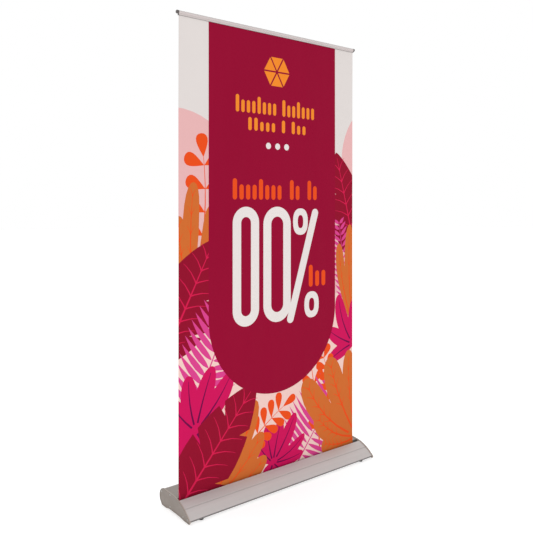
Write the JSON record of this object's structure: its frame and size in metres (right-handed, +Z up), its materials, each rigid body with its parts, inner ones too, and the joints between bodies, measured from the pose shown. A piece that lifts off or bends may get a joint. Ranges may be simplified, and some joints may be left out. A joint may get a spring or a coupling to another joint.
{
  "type": "roll-up banner stand",
  "caption": "Roll-up banner stand: a wedge-shaped cassette with a spring roller, a telescopic pole and a top rail that holds the printed sheet upright.",
  "frame": {"origin": "on the floor, under the middle of the cassette's box", "axes": "+X along the cassette to the right as seen from the printed side, +Y from the printed side to the back, +Z up"},
  "size_m": [1.05, 0.243, 2.0411],
  "materials": {
    "satin_aluminium": "satin silver anodised extrusion",
    "cap_plastic": "fine-textured warm grey moulding",
    "dark_plastic": "moulded dark grey nylon",
    "black_plastic": "black moulded plastic",
    "black_rubber": "matt black rubber",
    "steel": "zinc plated",
    "printed_fabric": "printed polyester display film, satin front and grey back",
    "leader_film": "plain white leader"
  },
  "bodies": {
    "cassette": {"housing_rear": "satin_aluminium", "housing_front": "satin_aluminium", "end_cap_left": "cap_plastic", "end_cap_right": "cap_plastic", "end_cap_screws": "steel", "slot_trim_front": "black_plastic", "slot_trim_rear": "black_plastic", "rear_foot_pads": "black_rubber", "leveller_inserts": "steel", "roller_bracket_left": "dark_plastic", "roller_bracket_right": "dark_plastic", "bracket_screws": "steel", "spring_shaft": "steel", "spring_anchor": "steel", "torsion_spring": "steel", "banner_sheet": "printed_fabric", "pole_socket": "dark_plastic", "pole_socket_screws": "steel", "pole_lower_tube": "satin_aluminium", "pole_foot_plug": "dark_plastic", "lower_lock_base": "dark_plastic"},
    "roller": {"roller_tube": "satin_aluminium", "roller_plug_left": "dark_plastic", "roller_plug_right": "dark_plastic", "shaft_bush": "dark_plastic", "leader_wraps": "leader_film"},
    "left_foot": {"leveller_pad_left": "black_rubber"},
    "left_screw": {"leveller_stem_left": "steel"},
    "right_foot": {"leveller_pad_right": "black_rubber"},
    "right_screw": {"leveller_stem_right": "steel"},
    "lower_lock": {"lower_lock_ring": "black_plastic"},
    "middle_pole": {"pole_middle_tube": "satin_aluminium", "middle_guide_plug": "black_plastic", "upper_lock_base": "dark_plastic"},
    "upper_lock": {"upper_lock_ring": "black_plastic"},
    "upper_pole": {"pole_upper_tube": "satin_aluminium", "upper_guide_plug": "black_plastic", "pole_hook": "dark_plastic"},
    "top_rail": {"rail_back": "satin_aluminium", "rail_jaw": "satin_aluminium", "rail_plug_left": "dark_plastic", "rail_plug_right": "dark_plastic", "rail_hook_plate": "dark_plastic", "hook_plate_screws": "steel"}
  },
  "joints": [
    {"name": "pole_height", "type": "slide", "parent": "cassette", "child": "middle_pole", "axis": [0, 0, 1], "range_m": [-0.6, 0], "deforming": ["banner_sheet"]},
    {"name": "upper_pole_height", "type": "slide", "parent": "middle_pole", "child": "upper_pole", "axis": [0, 0, 1], "range_m": [-0.6, 0]},
    {"name": "roller_spin", "type": "hinge", "parent": "cassette", "child": "roller", "pos_m": [0, -0.0341, 0.034], "axis": [1, 0, 0], "range_deg": [-3854, 0]},
    {"name": "rail_lift", "type": "slide", "parent": "upper_pole", "child": "top_rail", "axis": [0, 0, 1], "range_m": [0, 0.009]},
    {"name": "lower_lock_turn", "type": "hinge", "parent": "cassette", "child": "lower_lock", "pos_m": [-0.014, 0.006, 0.70187], "axis": [0, 0, 1], "range_deg": [-75, 0]},
    {"name": "upper_lock_turn", "type": "hinge", "parent": "middle_pole", "child": "upper_lock", "pos_m": [-0.014, 0.006, 1.35387], "axis": [0, 0, 1], "range_deg": [-75, 0]},
    {"name": "left_foot_height", "type": "slide", "parent": "cassette", "child": "left_foot", "axis": [0, 0, 1], "range_m": [-0.006, 0]},
    {"name": "left_foot_screw", "type": "hinge", "parent": "left_foot", "child": "left_screw", "pos_m": [-0.458, -0.097, 0.005], "axis": [0, 0, 1], "range_deg": [-1725, 0]},
    {"name": "right_foot_height", "type": "slide", "parent": "cassette", "child": "right_foot", "axis": [0, 0, 1], "range_m": [-0.006, 0]},
    {"name": "right_foot_screw", "type": "hinge", "parent": "right_foot", "child": "right_screw", "pos_m": [0.458, -0.097, 0.005], "axis": [0, 0, 1], "range_deg": [-1725, 0]}
  ],
  "couplings": [
    {"joint": "upper_pole_height", "follows": "pole_height", "ratio": 1},
    {"joint": "roller_spin", "follows": "pole_height", "rad_per_m": 112},
    {"joint": "left_foot_height", "follows": "left_foot_screw", "m_per_rad": 0.00019894},
    {"joint": "right_foot_height", "follows": "right_foot_screw", "m_per_rad": 0.00019894}
  ]
}
